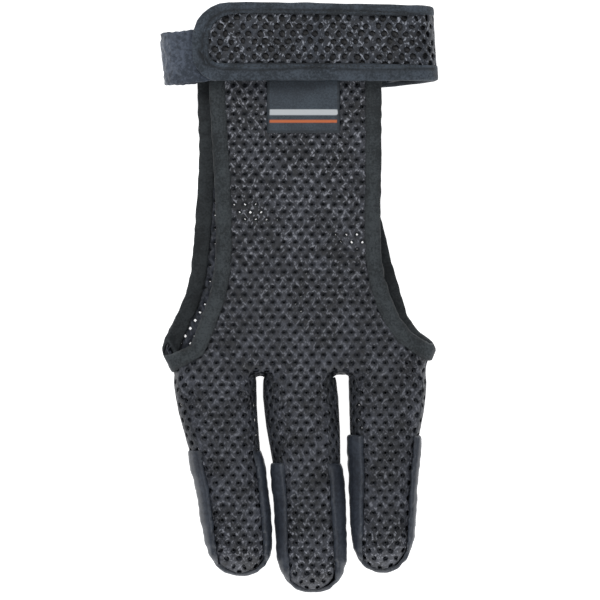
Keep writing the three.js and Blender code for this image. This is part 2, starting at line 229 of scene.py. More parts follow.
def make_yarn(name, dark, light, glint_colour, least=0.6, most=0.7):
    """Yarn whose glints show where the stroke noise is over least, and are full where it is over most."""
    material, tree, shader = new_material(name, 0.55)
    place = add_node(tree, "ShaderNodeTexCoord").outputs["Object"]
    glint = add_node(tree, "ShaderNodeAttribute", attribute_name="glint").outputs["Fac"]
    rim = add_node(tree, "ShaderNodeAttribute", attribute_name="rim").outputs["Fac"]
    strokes = []
    for turn in (DIAGONAL, -DIAGONAL):
        turned = add_node(
            tree, "ShaderNodeMapping", {"Vector": place}, vector_type="TEXTURE",
            Rotation=(0, 0, turn), Scale=(1, 2.2, 1))
        stroke = add_node(
            tree, "ShaderNodeTexNoise", {"Vector": turned.outputs[0]}, Scale=0.5 / STRAND_WIDTH, Detail=1.5)
        strokes.append(stroke.outputs["Fac"])
    highest = add_node(tree, "ShaderNodeMath", {0: strokes[0], 1: strokes[1]}, operation="MAXIMUM")
    clouds = add_node(tree, "ShaderNodeTexNoise", {"Vector": place}, Scale=90.0, Detail=3.0, Roughness=0.6)
    tone = add_node(tree, "ShaderNodeMath", {0: highest.outputs[0], 1: clouds.outputs["Fac"]}, operation="MULTIPLY")
    level = add_node(tree, "ShaderNodeMapRange", {"Value": tone.outputs[0]})
    level.inputs["From Min"].default_value = 0.18
    level.inputs["From Max"].default_value = 0.38
    base = mix_colours(tree, level.outputs[0], dark, light)
    deep = add_node(tree, "ShaderNodeMath", {0: rim}, operation="MULTIPLY")
    deep.inputs[1].default_value = 0.6
    base = mix_colours(tree, deep.outputs[0], base, dark)
    spots = add_node(tree, "ShaderNodeMapRange", {"Value": highest.outputs[0]})
    spots.inputs["From Min"].default_value = least
    spots.inputs["From Max"].default_value = most
    share = add_node(tree, "ShaderNodeMath", {0: spots.outputs[0], 1: glint}, operation="MULTIPLY")
    bump = add_node(tree, "ShaderNodeBump", {"Height": highest.outputs[0]}, Strength=0.7, Distance=0.35 * MM)
    tree.links.new(mix_colours(tree, share.outputs[0], base, glint_colour), shader.inputs["Base Color"])
    tree.links.new(bump.outputs["Normal"], shader.inputs["Normal"])
    return material


# The copies differ in painted light: the back's has the brightest glints, painted highlight; the palm's is darker with
# dimmer glints, painted shade.
back_yarn = make_yarn("Knitted polyester spacer mesh, back", "#17191e", "#484b54", "#a0a2aa")
shaded_palm_yarn = make_yarn("Knitted polyester spacer mesh, palm", "#15181c", "#3a3d44", "#6c6e78")
strap_yarn = make_yarn("Knitted polyester spacer mesh, strap", "#171a20", "#363c46", "#a2a6b0", 0.61, 0.71)
lining_yarn = make_yarn("Knitted polyester spacer mesh, inner face", "#20242a", "#4a4f5a", "#63656f")
# the strap's inner face is near black: painted shade for the dark inside of the strap, seen through its holes
shaded_strap_inner_yarn = make_yarn("Knitted polyester spacer mesh, strap's inner face", "#08090c", "#14171c", "#34373e")

# %% [markdown]
# ## Tape, leather and strap fabrics
# The tape is a matt knitted polyester binding, so it has a fine weave and hardly any shine. The patches are a
# smooth synthetic leather with a fine grain. The loop strap is brushed, which gives a soft pile with a pale rim.

# %% Woven or grained cloth
def make_cloth(name, dark, light, roughness, grain, depth, cloud=60.0, sheen=0.0, bands=()):
    """A cloth whose threads or grain are grain metres apart and stand depth metres high.
    An attribute darkens it towards near black: painted shade where it is creased, sewn down or lies underneath, and on
    the label the woven border's own darker colour.
    bands are pairs of an attribute's name and the colour that it brings in."""
    material, tree, shader = new_material(name, roughness)
    place = add_node(tree, "ShaderNodeTexCoord").outputs["Object"]
    clouds = add_node(tree, "ShaderNodeTexNoise", {"Vector": place}, Scale=cloud, Detail=4.0, Roughness=0.65)
    threads = add_node(tree, "ShaderNodeTexVoronoi", {"Vector": place}, Scale=1.0 / grain)
    fluff = add_node(tree, "ShaderNodeTexNoise", {"Vector": place}, Scale=0.5 / grain, Detail=3.0, Roughness=0.6)
    tone = add_node(tree, "ShaderNodeMath", {0: clouds.outputs["Fac"], 1: fluff.outputs["Fac"]}, operation="ADD")
    spread = add_node(tree, "ShaderNodeMapRange", {"Value": tone.outputs[0]})
    spread.inputs["From Min"].default_value = 0.85
    spread.inputs["From Max"].default_value = 1.15
    bump = add_node(tree, "ShaderNodeBump", {"Height": threads.outputs["Distance"]}, Strength=0.6, Distance=depth)
    shade_and_border = add_node(tree, "ShaderNodeAttribute", attribute_name="shade_and_border").outputs["Fac"]
    cloth = mix_colours(tree, spread.outputs[0], dark, light)
    for attribute, colour in bands:
        band = add_node(tree, "ShaderNodeAttribute", attribute_name=attribute).outputs["Fac"]
        cloth = mix_colours(tree, band, cloth, colour)
    tree.links.new(mix_colours(tree, shade_and_border, cloth, "#101214"), shader.inputs["Base Color"])
    tree.links.new(bump.outputs["Normal"], shader.inputs["Normal"])
    shader.inputs["Sheen Weight"].default_value = sheen
    shader.inputs["Sheen Roughness"].default_value = 0.5
    return material


edge_tape = make_cloth("Knitted polyester binding tape", "#1f2427", "#3a4043", 0.8, 0.45 * MM, 0.1 * MM, cloud=110.0)
strap_tape = make_cloth("Knitted polyester strap tape", "#262d34", "#444d57", 0.8, 0.45 * MM, 0.1 * MM, cloud=110.0)
patch_leather = make_cloth("Smooth synthetic leather", "#282c34", "#383e48", 0.5, 0.6 * MM, 0.05 * MM)
loop_pile = make_cloth("Brushed loop fabric", "#353c46", "#565e6c", 0.95, 0.7 * MM, 0.3 * MM, sheen=0.25)
hook_tape = make_cloth("Moulded nylon hook tape", "#191a1d", "#24262a", 0.45, 1.0 * MM, 0.1 * MM)
thread = make_cloth("Polyester sewing thread", "#23272a", "#3b4144", 0.6, 0.3 * MM, 0.05 * MM)

# %% [markdown]
# ## The mesh as geometry
# The holes are about 2 mm wide and stand in staggered rows, 4.75 mm apart along a row and 3.17 mm from row to row.
# A square grid sheared into diamonds has just that stagger. Each diamond is inset and its middle is taken out,
# the rest is given thickness, and one subdivision rounds the strands like yarn.
# A picture of holes on a smooth sheet would be cheaper, but it would look flat from the side and at the edges.
# Spacer mesh has two faces with yarn between them, so a second, closer layer lies under the first.

# %% Diamond grid
HOLE_PITCH = 4.75 * MM
ROW_PITCH = 3.17 * MM
ROOT_Y = -32.4                # of the fingers, and of their tips, in millimetres
TIP_Y = -118.0


def diamond_grid(low, high, pitch, row, start):
    """A grid of diamonds that covers the flat box from low to high, with a hole's middle at start."""
    width = 2 * max(start[0] - low[0], high[0] - start[0])
    length = 2 * max(start[1] - low[1], high[1] - start[1])
    count = 2 * math.ceil(width / (2 * pitch) + length / (4 * row)) + 3
    bm = bmesh.new()
    bmesh.ops.create_grid(bm, x_segments=count, y_segments=count, size=count / 2)
    shear = Matrix(((pitch / 2, -pitch / 2, 0, 0), (row, row, 0, 0), (0, 0, 1, 0), (0, 0, 0, 1)))
    bmesh.ops.transform(bm, matrix=shear, verts=bm.verts)
    bmesh.ops.translate(bm, vec=Vector((start[0], start[1], 0)), verts=bm.verts)
    outside = [
        v for v in bm.verts
        if not (low[0] - pitch < v.co.x < high[0] + pitch and low[1] - 2 * row < v.co.y < high[1] + 2 * row)
    ]
    bmesh.ops.delete(bm, geom=outside, context="VERTS")
    return bm


# %% Laying the grid on the form
SEAM_ALLOWANCE = 0.35 * MM    # how far the cloth runs on past its solid, to meet its neighbour at a seam


def on_form(place, spot):
    return place(spot.x, spot.y) is not None


def edge_spot(vert, place, reach):
    """Where a point at the border of the grid goes, so that the border follows the form's edge."""
    centres = [face.calc_center_median() for face in vert.link_faces]
    inside = sum(centres, Vector()) / len(centres)
    if not on_form(place, inside):
        inside = centres[0]
    outside = vert.co.copy()
    if on_form(place, outside):
        outside += (vert.co - inside).normalized() * reach
        if on_form(place, outside):
            return place(vert.co.x, vert.co.y)
    for _ in range(8):
        middle = (inside + outside) / 2
        if on_form(place, middle):
            inside = middle
        else:
            outside = middle
    return place(inside.x, inside.y)


def lay(bm, place, depth, reach=3 * MM):
    """Lays a flat grid on the form, depth under its surface, and drops what is off it."""
    off = [f for f in bm.faces if not on_form(place, f.calc_center_median())]
    bmesh.ops.delete(bm, geom=off, context="FACES")
    bmesh.ops.delete(bm, geom=[v for v in bm.verts if not v.link_faces], context="VERTS")
    spots = {}
    for v in bm.verts:
        inner = not v.is_boundary and place(v.co.x, v.co.y)
        spots[v] = inner or edge_spot(v, place, reach)
    for v, (spot, normal) in spots.items():
        v.co = spot - normal * depth
    hems = [(v, spots[v][1]) for v in bm.verts if v.is_boundary]
    moves = []
    for v, normal in hems:
        out = v.co - sum((f.calc_center_median() for f in v.link_faces), Vector()) / len(v.link_faces)
        out -= normal * out.dot(normal)
        moves.append(out.normalized() * SEAM_ALLOWANCE)
    for (v, _), move in zip(hems, moves):
        v.co += move
    bmesh.ops.dissolve_degenerate(bm, dist=0.2 * MM, edges=bm.edges)


# %% Cutting the holes
LEAST_STRAND = 0.35 * MM      # between two holes' rims
CORNER_SHARE = 0.78           # how far out a hole's corners stand, as a share of its width, before they are rounded
UNEVEN_SIZE = 1.3 * MM
DIM_GLINT_Y = -20 * MM             # below it, on the fingers, the painted highlights of the glints are weakest
BRIGHT_GLINT_Y = 70 * MM              # above it, towards the strap, the painted highlights of the glints are strongest
TIP_GLINT_Y = -85 * MM        # below it, over the fingertips, the painted highlights grow strong again
# how much the painted highlights grow again over the fingertips
TIP_GLINT = 0.7


def pierce(bm, hole, uneven):
    """Cuts a hole in each diamond that has room for it, and marks the loops over each hole.
    uneven is how much the holes' corners differ, as a share of their distance from the middle."""
    glint = bm.verts.layers.float.new("glint")
    rim = bm.verts.layers.float.new("rim")
    whole = [
        f for f in bm.faces
        if len(f.verts) == 4 and 2 * f.calc_area() / f.calc_perimeter() > hole / 2 + LEAST_STRAND / 2
    ]
    bmesh.ops.inset_individual(bm, faces=whole, thickness=0.1 * MM)
    for face in whole:
        middle = face.calc_center_median()
        for vert in face.verts:
            reach = hole * CORNER_SHARE * (1 + uneven * noise.noise(vert.co / UNEVEN_SIZE))
            vert.co = middle + (vert.co - middle).normalized() * reach
        top = max(face.verts, key=lambda v: v.co.y)
        # how strong the painted highlights are: they grow towards the strap and again over the fingertips
        glint_strength = 0.4 + 0.6 * max(0.0, min(1.0, (middle.y - DIM_GLINT_Y) / (BRIGHT_GLINT_Y - DIM_GLINT_Y)))
        glint_strength += TIP_GLINT * max(0.0, min(1.0, (TIP_GLINT_Y - middle.y) / (TIP_GLINT_Y - TIP_Y * MM)))
        for vert in face.verts:
            vert[rim] = 1.0
            vert[glint] = glint_strength if vert is top else 0.2 * glint_strength
        for edge in top.link_edges:
            other = edge.other_vert(top)
            if other not in face.verts:
                other[glint] = max(other[glint], 0.8 * glint_strength)
    bmesh.ops.delete(bm, geom=whole, context="FACES_ONLY")


# %% Letting the cloth out
# columns: x where it starts, is full and stops, y where it starts and stops, and how far it goes, in millimetres
LET_OUT = [
    (-38.0, -50.0, -70.0, -27.0, -63.0, -1.7),
    (-4.0, -13.0, -16.0, -30.0, -72.0, -1.4),
    (8.0, 16.0, 18.5, -32.0, -72.0, 0.7),
    (42.0, 52.0, 70.0, -29.0, -60.0, 0.8),
]
# columns: x and y of the middle of each side opening's corner, and its radius, in millimetres
CORNERS = [(-49.0, -21.0, 8.85), (53.5, -22.0, 4.25)]
CORNER_SPAN = 1.3             # of a corner's round, as its height over its reach
CORNER_FADE = 0.7             # the part of it over which the rounding fades out
UNDER_TAPE = 0.5              # how far inside the tape's corner the mesh ends, in millimetres


def let_out(bm):
    """Lets the mesh out at the fingers' roots, which keep the roundness of the knuckles."""
    for v in bm.verts:
        x, y = v.co.x / MM, v.co.y / MM
        for first, full, last, start, end, out in LET_OUT:
            along = (y - start) / (end - start)
            if 0 < along < 1 and 0 < (x - first) / (last - first) < 1:
                across = min(1.0, (x - first) / (full - first))
                v.co.x += out * MM * across * min(1.0, 4 * along, 2.5 * (1 - along))


def round_corners(bm, inside=0.0):
    """Rounds the two corners above the fingers, seen from above."""
    for v in bm.verts:
        for x, y, radius in CORNERS:
            out = Vector((v.co.x - x * MM, v.co.y - y * MM, 0))
            past = out.length - (radius - inside) * MM
            if x * out.x > 0 and abs(out.y) < CORNER_SPAN * abs(out.x) and past > 0:
                fade = (CORNER_SPAN - abs(out.y / out.x)) / CORNER_FADE
                v.co -= out.normalized() * past * min(1.0, fade)


# %% One face of the mesh
def thicken(bm, thickness):
    """Gives the cloth a wall, inward from its face."""
    bm.normal_update()
    inward = bm.verts.layers.float_vector.new("inward")
    for v in bm.verts:
        v[inward] = -v.normal * thickness
    result = bmesh.ops.extrude_face_region(bm, geom=bm.faces[:], use_keep_orig=True)
    for v in result["geom"]:
        if isinstance(v, bmesh.types.BMVert):
            v.co += v[inward]
    bmesh.ops.recalc_face_normals(bm, faces=bm.faces)
    bm.verts.layers.float_vector.remove(inward)


def knit_layer(place, grid, depth, hole, thickness, inside_out=False, jitter=0.0, uneven=0.3):
    """One face of the spacer mesh, laid on a form. It returns the mesh and the cloth's area without holes."""
    bm = diamond_grid(*grid)
    for v in bm.verts:
        v.co += jitter * noise.noise_vector(v.co / (3 * MM))
        v.co.z = 0
    lay(bm, place, depth)
    let_out(bm)
    round_corners(bm, UNDER_TAPE)
    area = sum(f.calc_area() for f in bm.faces)
    if inside_out:
        bmesh.ops.reverse_faces(bm, faces=bm.faces)
    pierce(bm, hole, uneven)
    thicken(bm, thickness)
    return bm, area


# %% Back of the glove
FACE_DEPTH = 0.1 * MM         # of the outer face, under the solid's skin
LINING_DEPTH = 1.5 * MM       # of the inner face
FACE_THICKNESS = 0.9 * MM
LINING_THICKNESS = 0.5 * MM
FACE_HOLE = 2.3 * MM
LINING_HOLE = 0.8 * MM
MEETING = (-20.6 * MM, 36.3 * MM)    # where a hole of the back stands right over one of the palm

low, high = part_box("back_panel")
back = from_above("back_panel")
back_grid = (low, high, HOLE_PITCH, ROW_PITCH, MEETING)
layer, back_area = knit_layer(back, back_grid, FACE_DEPTH, FACE_HOLE, FACE_THICKNESS)
back_mesh = to_piece(layer, "back_mesh", back_yarn, ["back_panel"])
round_off(back_mesh)
layer, _ = knit_layer(back, back_grid, LINING_DEPTH, LINING_HOLE, LINING_THICKNESS)
back_lining = to_piece(layer, "back_mesh_inner_face", lining_yarn)
print("back mesh covers", round(back_area * 1e4, 1), "square centimetres")

# %% [markdown]
# ## Palm of the glove
# The palm is the same mesh on the other side of the hand. It wraps up the sides of the fingers to the seams on top,
# so it is laid in four parts: the flat of the hand from below, and each finger's sides round the finger's own middle.
# Its holes stand a little closer than the back's, so only here and there do two holes meet and let light through.

# %% Fingers' middles
# columns: x of the middle at the finger's root and at its tip, and y of the edge of its patch, in millimetres
FINGERS = {
    "ring": (-34.9, -24.8, -64.3),
    "middle": (0.4, 5.4, -69.7),
    "index": (37.1, 34.8, -57.7),
}
ROOT_LAP = 1.5                # of the flat hand's mesh over the fingers' mesh
FINGER_LEVEL = 10.5 * MM
FLAT_HALF = 7 * MM            # of a finger's section, before it turns up
TURN_RADIUS = 9.5 * MM
UNDER_PATCH = 5.0             # how far the palm mesh runs on under each patch
CROTCH_START = -40 * MM
CROTCH_REACH = 14 * MM
# columns: the x between which each crotch lies, in millimetres
CROTCHES = [(-24.0, -10.0), (12.0, 27.0)]


def around_finger(node, name):
    """A function that finds the outside of a solid from inside a finger. u runs round the finger from underneath."""
    root_x, tip_x, _ = FINGERS[name]

    def place(u, y):
        share = (y / MM - ROOT_Y) / (TIP_Y - ROOT_Y)
        side = max(-FLAT_HALF, min(FLAT_HALF, u))
        angle = (u - side) / TURN_RADIUS
        start = Vector(((root_x + (tip_x - root_x) * share) * MM + side, y, FINGER_LEVEL))
        way = Vector((math.sin(angle), 0, -math.cos(angle)))
        inner = trees[node].ray_cast(start, way, 14 * MM)[0]
        if inner is None:
            return None
        outer, normal, _, _ = trees[node].ray_cast(inner + way * 0.01 * MM, way, 6 * MM)
        if outer is None or (y / MM > ROOT_Y and abs(normal.x) < 0.5):
            return None
        return outer, normal
    return place


def between_fingers(node, low_x, high_x):
    """A function that finds the front of the hand between two fingers, at x and height."""
    def place(x, height):
        if not low_x < x < high_x:
            return None
        start = Vector((x, CROTCH_START, height))
        spot, normal, _, _ = trees[node].ray_cast(start, Vector((0, 1, 0)), CROTCH_REACH)
        return None if spot is None or normal.y > -0.12 else (spot, normal)
    return place


# %% Lay the palm
PALM_PITCH = 4.3 * MM
PALM_HOLE = 1.9 * MM
PALM_LINING_HOLE = 0.9 * MM
MEETING_SLANT = -0.263        # of the line on which holes of the back and the palm meet
MEETING_SPREAD = 7 * MM


def join(bm, other):
    """Adds another mesh to this one."""
    mesh = bpy.data.meshes.new("part")
    other.to_mesh(mesh)
    other.free()
    bm.from_mesh(mesh)
    bpy.data.meshes.remove(mesh)


def near_meeting(x, y):
    """1 on the line on which holes of the back and the palm meet, 0 away from it."""
    from_line = y - MEETING[1] - MEETING_SLANT * (x - MEETING[0])
    return math.exp(-(from_line / MEETING_SPREAD) ** 2)


def near_corner(x, y):
    """1 at the lower end of the side slots, where the palm alone is seen against the light, 0 higher up."""
    return 1 / (1 + math.exp((y + 8 * MM) / (2.5 * MM)))


def face_rows(place):
    """The outer face: half a row off the back's holes, except where they meet."""
    return lambda x, y: place(x, y + ROW_PITCH / 2 * (1 - near_meeting(x, y)))


def lining_rows(place):
    """The inner face: half a row off the outer one, except where light comes through."""
    def moved(x, y):
        meeting = near_meeting(x, y) if abs(x) < 32 * MM else 0.0
        shift = 1 - near_meeting(x, y) + 1 - max(meeting, near_corner(x, y))
        return place(x, y + ROW_PITCH / 2 * shift)
    return moved


low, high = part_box("palm_panel")
flat_hand = from_below("palm_panel", (ROOT_Y - ROOT_LAP) * MM, 0.25)
hand_grid = (low, high, PALM_PITCH, ROW_PITCH, MEETING)


def palm_layer(rows, depth, hole, thickness):
    """One face of the palm's mesh: the flat of the hand and the sides of the three fingers."""
    whole, area = knit_layer(rows(flat_hand), hand_grid, depth, hole, thickness, inside_out=True)
    for name, (_, _, patch_y) in FINGERS.items():
        around = around_finger("palm_panel", name)
        grid = ((-32 * MM, (patch_y - UNDER_PATCH) * MM), (32 * MM, -20 * MM), PALM_PITCH, ROW_PITCH, (0, ROOT_Y * MM))
        side, side_area = knit_layer(around, grid, depth, hole, thickness, inside_out=True)
        join(whole, side)
        area += side_area
    for low_x, high_x in CROTCHES:
        web = between_fingers("palm_panel", low_x * MM, high_x * MM)
        grid = ((low_x * MM, 0), (high_x * MM, 20 * MM), PALM_PITCH, ROW_PITCH, ((low_x + high_x) / 2 * MM, 9 * MM))
        front, front_area = knit_layer(web, grid, depth, hole, thickness)
        join(whole, front)
        area += front_area
    return whole, area


layer, palm_area = palm_layer(face_rows, FACE_DEPTH, PALM_HOLE, FACE_THICKNESS)
palm_mesh = to_piece(layer, "palm_mesh", shaded_palm_yarn, ["palm_panel"])
round_off(palm_mesh)
layer, _ = palm_layer(lining_rows, LINING_DEPTH, PALM_LINING_HOLE, LINING_THICKNESS)
palm_lining = to_piece(layer, "palm_mesh_inner_face", lining_yarn)
print("palm mesh covers", round(palm_area * 1e4, 1), "square centimetres")

# %% [markdown]
# ## Fingertip patches
# Each patch is one piece of smooth synthetic leather, wrapped round the finger's underside and sides and sewn to the
# mesh on top. A laid grid would have to close over the round tip, so a fine copy of the solid is smoothed instead,
# and shallow creases run across it, where the finger bends.

# %% Make the patches
SEAM_REACH = 1.9 * MM         # how far from the seam the leather is pulled down to the mesh
SEAM_SHADE = 0.25
PATCH_EASE = 10 * MM          # over which the patch's open end is drawn in to the finger
PATCH_SWELL = 0.4 * MM       # brings the skin out again after smoothing
TIP_ROUND = 12 * MM           # from a fingertip's end to the middle of its rounding
TIP_LOW = 4 * MM              # the leather's rim is drawn in round the tip, from this level
TIP_RIM = 8 * MM              # up to this one, where it is sewn to the mesh
TIP_DRAW = 0.65 * MM
TIP_BLEND = 16 * MM           # over which the drawing in grows
# how far the open end is drawn in on the finger's left and right, in millimetres
PATCH_ENDS = {"ring": (0.9, 1.5), "middle": (0.6, 1.5), "index": (0.6, 0.8)}
# how much fuller the tip's right side is than its left, in millimetres
TIP_FULL = {"ring": 0.7, "middle": 0.8, "index": 0.9}


def sew_down(v, shade_and_border):
    """Pulls a point of the leather to the mesh's edge where it is near, and darkens it there with painted shade."""
    spot, _, _, seam = trees["back_panel"].find_nearest(v.co, SEAM_REACH)
    if spot is not None:
        near = 1 - seam / SEAM_REACH
        v.co = v.co.lerp(spot, min(0.85, 1.7 * near))
        v[shade_and_border] = SEAM_SHADE * min(1.0, 1.5 * near)


for index, (name, (root_x, tip_x, patch_y)) in enumerate(FINGERS.items()):
    skin = fine_copy(f"{name}_patch", 0.55 * MM, 5)
    crease(skin, 0.35 * MM, (14 * MM, 3 * MM, 14 * MM), 3.1 * index)
    crease(skin, 0.3 * MM, (9 * MM, 12 * MM, 9 * MM), 7.7 * index)
    skin.normal_update()
    shade_and_border = skin.verts.layers.float.new("shade_and_border")
    left_end, right_end = PATCH_ENDS[name]
    tip_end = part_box(f"{name}_patch")[0][1]
    for v in skin.verts:
        v.co += v.normal * PATCH_SWELL
        share = (v.co.y / MM - ROOT_Y) / (TIP_Y - ROOT_Y)
        middle = Vector(((root_x + (tip_x - root_x) * share) * MM, v.co.y, FINGER_LEVEL))
        ease = max(0.0, min(1.0, 1 + (v.co.y - patch_y * MM) / PATCH_EASE)) ** 2
        side = max(0.0, min(1.0, 0.5 + (v.co.x - middle.x) / (2 * FLAT_HALF)))
        v.co += (middle - v.co).normalized() * (left_end + (right_end - left_end) * side) * MM * ease
        round_middle = Vector((tip_x * MM, tip_end + TIP_ROUND, FINGER_LEVEL))
        rise = max(0.0, min(1.0, (v.co.z - TIP_LOW) / (TIP_RIM - TIP_LOW)))
        near_tip = max(0.0, min(1.0, 0.5 + (round_middle.y - v.co.y) / TIP_BLEND))
        v.co += (round_middle - v.co).normalized() * TIP_DRAW * rise * near_tip
        v.co.x += TIP_FULL[name] * MM * near_tip * side ** 2
        sew_down(v, shade_and_border)
    to_piece(skin, f"{name}_fingertip_patch", patch_leather, [f"{name}_patch"])

# %% [markdown]
# ## Bound edges
# The tape is folded over the cut edge of the mesh and sewn down with a row of stitches near its inner edge.
# It is thickest along its middle and thin at its edges, where shade gathers. A fine copy of the solid keeps the fold
# over both faces of the mesh, and the edges are then found by walking across it, and pressed down.

# %% Lines on the tape
SPLIT_LEVEL = 11.0 * MM       # the back's tape lies above it and the palm's below


def resample(points, step):
    """Points at even distances along a line."""
    even = [points[0].copy()]
    left = step
    for start, end in zip(points, points[1:]):
        length = (end - start).length
        walked = left
        while walked <= length:
            even.append(start.lerp(end, walked / length))
            walked += step
        left = walked - length
    return even


def tape_edges(node, side, facing):
    """The tape's outer and inner edge, walking in from a point beside the hand. facing is 1 for the back and
    -1 for the palm."""
    centre = Vector((side * 100 * MM, 30 * MM, 0))
    edges = ([], [])
    for degrees in range(-58, 59):
        angle = math.radians(degrees)
        way = Vector((-side * math.cos(angle), math.sin(angle), 0))
        hits = []
        for step in range(80, 300):
            start = centre + way * step * 0.4 * MM + UP * facing * 60 * MM
            hit = trees[node].ray_cast(start, -UP * facing)[0]
            if hit is not None and (hit.z - SPLIT_LEVEL) * facing > 0:
                hits.append(hit)
        if hits:
            edges[0].append(hits[0])
            edges[1].append(hits[-1])
    return edges


def press(bm, line, width, depth, shade, facing=1):
    """Presses the skin in along a line, by depth at the line and nothing at width, and marks it as shaded."""
    shade_and_border = bm.verts.layers.float.get("shade_and_border") or bm.verts.layers.float.new("shade_and_border")
    tree = KDTree(len(line))
    for index, spot in enumerate(line):
        tree.insert((spot.x, spot.y, 0), index)
    tree.balance()
    bm.normal_update()
    for v in bm.verts:
        if v.normal.z * facing < 0.2 or (v.co.z - SPLIT_LEVEL) * facing < 0:
            continue
        distance = tree.find((v.co.x, v.co.y, 0))[2]
        if distance < width:
            share = (1 - distance / width) ** 2
            v.co.z -= facing * depth * share
            v[shade_and_border] = min(1.0, max(v[shade_and_border], shade * share))


# %% Stitches
STITCH_STEP = 2.7 * MM
STITCH_SIZE = (1.7 * MM, 0.42 * MM, 0.34 * MM)


def stitch(seam, skin, line, facing=1):
    """Adds a row of stitches along a line on a skin, each a small bead of thread."""
    form = BVHTree.FromBMesh(skin)
    spots = resample(line, STITCH_STEP)
    for before, spot, after in zip(spots, spots[1:], spots[2:]):
        hit, normal, _, _ = form.ray_cast(Vector((spot.x, spot.y, facing * 60 * MM)), -UP * facing)
        if hit is None:
            continue
        along = after - before
        along = (along - normal * along.dot(normal)).normalized()
        across = normal.cross(along)
        turn = Matrix((along, across, normal)).transposed().to_4x4()
        size = Matrix.Diagonal((*[0.5 * n for n in STITCH_SIZE], 1))
        place = Matrix.Translation(hit + normal * 0.03 * MM) @ turn @ size
        bmesh.ops.create_uvsphere(seam, u_segments=6, v_segments=5, radius=1.0, matrix=place)


# %% Make the bindings
SEAM_INSET = 1.4 * MM         # from the tape's inner edge to its stitches
TURN_X = 42 * MM              # beyond it the tape turns from the back to the palm, and is rounded more
TURN_Y = -8 * MM
TURN_PASSES = 14
TURN_SWELL = 0.45 * MM        # brings the rounded turn out again over the mesh
TURN_BLEND = 8 * MM
PALM_TAPE_SHADE = 0.35        # painted shade: the palm's run of tape, which lies underneath, is darkened

for side_name, side in (("left", -1), ("right", 1)):
    node = f"binding_{side_name}"
    skin = fine_copy(node, 0.5 * MM, 5)
    at_turn = [v for v in skin.verts if side * v.co.x > TURN_X and v.co.y < TURN_Y]
    for _ in range(TURN_PASSES):
        bmesh.ops.smooth_vert(skin, verts=at_turn, factor=0.5, use_axis_x=True, use_axis_y=True, use_axis_z=True)
    skin.normal_update()
    for v in at_turn:
        inside = min(side * v.co.x - TURN_X, TURN_Y - v.co.y)
        v.co += v.normal * TURN_SWELL * min(1.0, inside / TURN_BLEND)
    crease(skin, 0.35 * MM, (6 * MM, 3.5 * MM, 6 * MM), 1.3)
    round_corners(skin)
    seam = bmesh.new()
    for facing in (1, -1):
        outer, inner = tape_edges(node, side, facing)
        # the presses sink the tape along its edges and its row of stitches, and darken it there as painted shade
        press(skin, resample(outer, 0.3 * MM), 1.8 * MM, 0.35 * MM, 0.45, facing)
        press(skin, resample(inner, 0.3 * MM), 1.6 * MM, 0.3 * MM, 0.6, facing)
        row = [i + (o - i).normalized() * SEAM_INSET for o, i in zip(outer, inner)]
        press(skin, resample(row, 0.3 * MM), 0.7 * MM, 0.12 * MM, 0.35, facing)
        stitch(seam, skin, row, facing)
    # the palm's run of tape is darkened as painted shade
    shade_and_border = skin.verts.layers.float.get("shade_and_border")
    for v in skin.verts:
        if v.co.z < SPLIT_LEVEL:
            v[shade_and_border] = max(v[shade_and_border], PALM_TAPE_SHADE)
    to_piece(skin, f"{side_name}_edge_binding", edge_tape, [node])
    to_piece(seam, f"{side_name}_binding_stitches", thread)

# %% [markdown]
# ## The strap's binding
# The strap's tape is wider below than above. It is stiff, so a crease runs along it all the way round the tab,
# and it is pinched in once at the tab's end.

# %% Creases of the strap's tape
# columns: x and y in millimetres, from the fold along the lower edge, round the tab and back
BAND_CREASE = [
    (56.7, 96.6), (42.4, 96.4), (29.8, 96.0), (19.7, 96.4), (7.5, 97.1), (-5.9, 96.4), (-18.9, 95.9), (-32.4, 96.4),
    (-35.7, 97.4), (-39.0, 98.8), (-40.6, 103.5), (-40.8, 108.5), (-39.7, 112.7), (-38.0, 116.1), (-35.7, 118.6),
    (-32.4, 120.4), (-28.2, 121.2), (10.0, 121.2), (30.0, 120.8), (42.0, 120.2), (54.0, 119.4),
]
# the hollow where the tab's tape is pinched in, darkened fully as painted shadow
PINCH = [(-41.4, 103.4), (-40.6, 101.2), (-39.0, 99.2)]
# a crease by the fold where the tape's edge is pressed in, darkened as painted shade
FOLD_CREASE = [(22.0, 94.6), (34.0, 95.2), (44.0, 95.0)]


def on_plan(points):
    return [Vector((x * MM, y * MM, 0)) for x, y in points]


def window_edge(node, low_x, high_x, middle_y):
    """The inner edge of the tape round the strap's window, walking out from the window's middle line."""
    def walk(start, way):
        for step in range(120):
            spot = start + way * step * 0.25 * MM
            hit = trees[node].ray_cast(spot + UP * 60 * MM, -UP)[0]
            if hit is not None and hit.z > SPLIT_LEVEL:
                return spot
        return None

    xs = [x * MM for x in range(low_x, high_x)]
    lower = [walk(Vector((x, middle_y, 0)), Vector((0, -1, 0))) for x in reversed(xs)]
    end = [walk(Vector((low_x * MM, middle_y + dy * MM, 0)), Vector((-1, 0, 0))) for dy in range(-5, 6)]
    upper = [walk(Vector((x, middle_y, 0)), Vector((0, 1, 0))) for x in xs]
    return [spot for spot in lower + end + upper if spot is not None]


# %% Make the strap's binding
FOLD_PASSES = 14              # of smoothing, to round the tape's corners where it goes round the fold
WINDOW_LOW_X = -27            # ends of the window's middle line, in millimetres
WINDOW_HIGH_X = 50
WINDOW_MIDDLE_Y = 106.2 * MM

